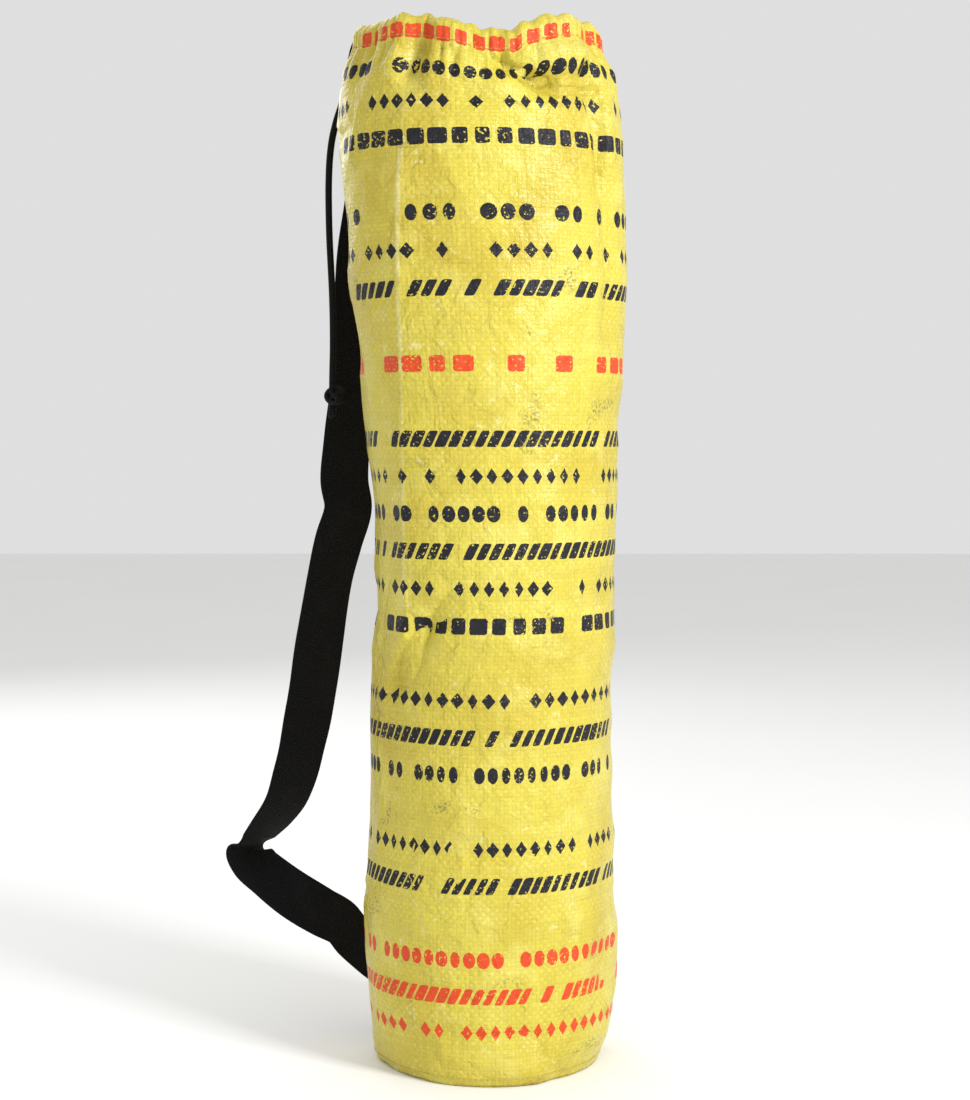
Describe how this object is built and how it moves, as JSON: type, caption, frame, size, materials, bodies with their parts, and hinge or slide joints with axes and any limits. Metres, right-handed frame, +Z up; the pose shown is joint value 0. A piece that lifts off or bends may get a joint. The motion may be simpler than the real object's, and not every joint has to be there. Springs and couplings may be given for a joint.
{
  "type": "yoga mat bag",
  "caption": "Tall drawstring bag for a rolled yoga mat, of yellow woven sacking with a round base, a corded casing, a knotted drawcord and a webbing shoulder strap.",
  "frame": {"origin": "middle of the underside of the round base, where the bag stands", "axes": "+Z up along the bag, -Y out of its front, -X towards the side where the strap and the drawcord hang"},
  "size_m": [0.2637, 0.1653, 0.655],
  "materials": {
    "sacking": "woven plastic tape with a satin sheen",
    "cord": "matt braided cord",
    "webbing": "matt woven webbing"
  },
  "bodies": {
    "root": {"bag_wall": "sacking", "base_panel": "sacking", "drawcord_ring": "cord", "cord_tail_front": "cord", "cord_tail_back": "cord", "cord_knot": "cord", "shoulder_strap": "webbing"}
  },
  "joints": []
}
